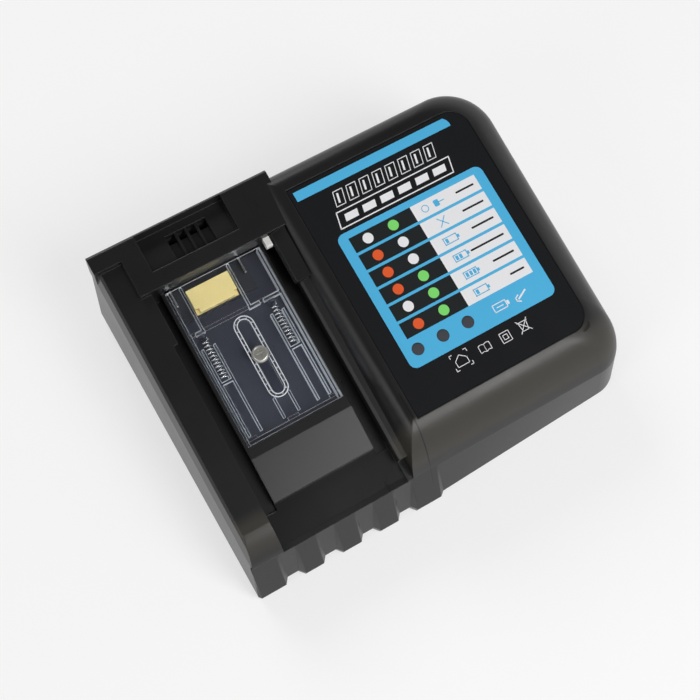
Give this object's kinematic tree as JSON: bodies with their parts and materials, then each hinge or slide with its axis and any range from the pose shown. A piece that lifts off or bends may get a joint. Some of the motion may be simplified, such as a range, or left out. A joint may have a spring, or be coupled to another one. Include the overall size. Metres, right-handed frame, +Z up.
{
  "type": "power tool battery charger",
  "caption": "Wedge-shaped charger for a slide-on tool battery, with a sloping rail bay, a clear terminal shutter and a rounded indicator console.",
  "frame": {"origin": "centre of the footprint at the level the rubber feet stand on", "axes": "+Z up, +Y to the rear where the cord leaves, +X to the right along the long side"},
  "size_m": [0.19, 0.15, 0.0614],
  "materials": {
    "case_charcoal": "fine textured, charcoal",
    "label_black": "glossy black sheet with printed colour fields",
    "lens_smoke": "smoked light windows",
    "led_clear": "water-clear moulded",
    "clear_shutter": "clear moulded plastic",
    "spring_steel": "drawn spring wire",
    "zinc_steel": "zinc plated",
    "contact_plate": "bright plated contact metal",
    "signal_yellow": "moulded yellow",
    "base_black": "moulded black",
    "plunger_white": "moulded off-white",
    "fan_black": "moulded black",
    "duct_grey": "moulded grey",
    "board_green": "solder-masked laminate",
    "core_iron": "dark ferrite",
    "winding_copper": "enamelled copper under tape",
    "can_sleeve": "shrink sleeve",
    "film_yellow": "moulded box",
    "sink_aluminium": "extruded",
    "fuse_glass": "glass tube with plated ends",
    "foot_rubber": "soft matt",
    "gland_rubber": "soft matt"
  },
  "bodies": {
    "housing": {"upper_case": "case_charcoal", "lower_case": "case_charcoal", "label_plate": "label_black", "indicator_lenses": "lens_smoke", "indicator_leds": "led_clear", "led_board": "board_green", "shutter_spring_left": "spring_steel", "shutter_spring_right": "spring_steel", "shutter_guide_screw": "zinc_steel", "shutter_guide_washer": "zinc_steel", "signal_connector": "signal_yellow", "positive_blade": "contact_plate", "negative_blade": "contact_plate", "terminal_base": "base_black", "sense_switch": "base_black", "fan_frame": "fan_black", "fan_screws": "zinc_steel", "air_duct": "duct_grey", "main_board": "board_green", "transformer_core": "core_iron", "transformer_winding": "winding_copper", "bulk_capacitor": "can_sleeve", "film_capacitors": "film_yellow", "heat_sink": "sink_aluminium", "fuse_link": "fuse_glass", "buzzer": "base_black", "board_screws": "zinc_steel", "case_screws": "zinc_steel", "rubber_feet": "foot_rubber", "cord_gland": "gland_rubber"},
    "shutter": {"terminal_shutter": "clear_shutter"},
    "sense_plunger": {"sense_plunger": "plunger_white"},
    "fan_rotor": {"fan_rotor": "fan_black", "fan_shaft": "zinc_steel"}
  },
  "joints": [
    {"name": "shutter_slide", "type": "slide", "parent": "housing", "child": "shutter", "axis": [0, 0.9874, 0.158], "range_m": [0, 0.014], "stiffness_N_per_m": 60, "springref_m": -0.012, "deforming": ["shutter_spring_left", "shutter_spring_right"]},
    {"name": "sense_plunger_slide", "type": "slide", "parent": "housing", "child": "sense_plunger", "axis": [0, 0.9874, 0.158], "range_m": [0, 0.0025], "stiffness_N_per_m": 120, "springref_m": -0.002},
    {"name": "fan_spin", "type": "hinge", "parent": "housing", "child": "fan_rotor", "pos_m": [0.004, 0.048, 0.029], "axis": [1, 0, 0], "continuous": true}
  ]
}
